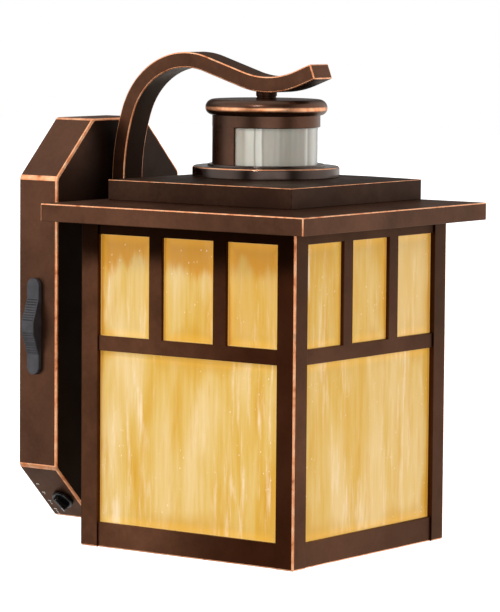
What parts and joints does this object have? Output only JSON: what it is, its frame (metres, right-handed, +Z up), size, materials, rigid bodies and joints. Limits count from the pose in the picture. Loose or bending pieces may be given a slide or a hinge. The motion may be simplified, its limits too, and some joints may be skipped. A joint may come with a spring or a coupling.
{
  "type": "outdoor wall lantern",
  "caption": "Square outdoor wall lantern with framed amber art-glass panes, stepped flat roof and motion-sensor head, hung from a swan-neck arm on a chamfered wall box with light controls.",
  "frame": {"origin": "centre of the mounting strap, on the wall plane", "axes": "+Z up, +Y into the wall, +X to the right of a person facing the wall"},
  "size_m": [0.2012, 0.2489, 0.3097],
  "materials": {
    "bronze": "semi-matt oil-rubbed bronze with copper rubbed through on the edges",
    "art_glass": "honey and cream streaked art glass, smooth outside",
    "sensor_lens": "milky ribbed lens",
    "slider_plastic": "moulded, fine ribs",
    "knob_plastic": "glossy black",
    "zinc_steel": "zinc plated",
    "green_screw": "green",
    "rubber": "closed-cell foam rubber",
    "circuit_board": "solder-masked laminate",
    "component_plastic": "moulded",
    "capacitor_sleeve": "shrink sleeve",
    "terminal_plastic": "moulded",
    "detector_metal": "plated can",
    "photocell_body": "clear-coated",
    "legend_paint": "off-white",
    "lead_insulation": "smooth insulation",
    "porcelain": "glazed",
    "socket_metal": "drawn",
    "bulb_cap_metal": "rolled thread",
    "bulb_glass": "frosted"
  },
  "bodies": {
    "lantern": {"wall_box": "bronze", "wall_gasket": "rubber", "mounting_strap": "zinc_steel", "mounting_studs": "zinc_steel", "cap_nuts": "bronze", "ground_screw": "green_screw", "control_board": "circuit_board", "board_screws": "zinc_steel", "relay": "component_plastic", "capacitor": "capacitor_sleeve", "terminal_block": "terminal_plastic", "slide_switch": "component_plastic", "rotary_switch": "component_plastic", "dial_marks": "legend_paint", "arm_gasket": "rubber", "swan_neck_arm": "bronze", "arm_screws": "zinc_steel", "arm_backing_plate": "zinc_steel", "arm_leads": "lead_insulation", "neck_collar": "bronze", "centre_nipple": "zinc_steel", "sensor_cap": "bronze", "sensor_housing": "bronze", "sensor_lens": "sensor_lens", "sensor_base": "bronze", "sensor_gasket": "rubber", "sensor_board": "circuit_board", "detector_holder": "component_plastic", "pyro_detectors": "detector_metal", "photocell": "photocell_body", "roof_tier": "bronze", "roof_slab": "bronze", "roof_soffit": "bronze", "top_frame": "bronze", "roof_screws": "zinc_steel", "clamp_washer": "zinc_steel", "nipple_nut": "zinc_steel", "bottom_rim": "bronze", "glass_retainers": "zinc_steel", "lampholder_bracket": "zinc_steel", "lampholder_screws": "zinc_steel", "lampholder": "porcelain", "screw_shell": "socket_metal", "centre_contact": "socket_metal", "corner_post_front_left": "bronze", "corner_post_front_right": "bronze", "corner_post_back_right": "bronze", "corner_post_back_left": "bronze", "side_frame_front": "bronze", "glass_front": "art_glass", "side_frame_right": "bronze", "glass_right": "art_glass", "side_frame_back": "bronze", "glass_back": "art_glass", "side_frame_left": "bronze", "glass_left": "art_glass"},
    "slider": {"slide_control": "slider_plastic"},
    "knob": {"selector_knob": "knob_plastic"},
    "bulb": {"bulb_base": "bulb_cap_metal", "bulb_glass": "bulb_glass"}
  },
  "joints": [
    {"name": "slider_travel", "type": "slide", "parent": "lantern", "child": "slider", "axis": [0, 0, 1], "range_m": [-0.005, 0.005]},
    {"name": "knob_turn", "type": "hinge", "parent": "lantern", "child": "knob", "pos_m": [-0.04094, -0.018, -0.11556], "axis": [-0.7071, 0, -0.7071], "range_deg": [-60, 60]},
    {"name": "bulb_removal", "type": "slide", "parent": "lantern", "child": "bulb", "axis": [0, 0, -1], "range_m": [0, 0.03]}
  ]
}
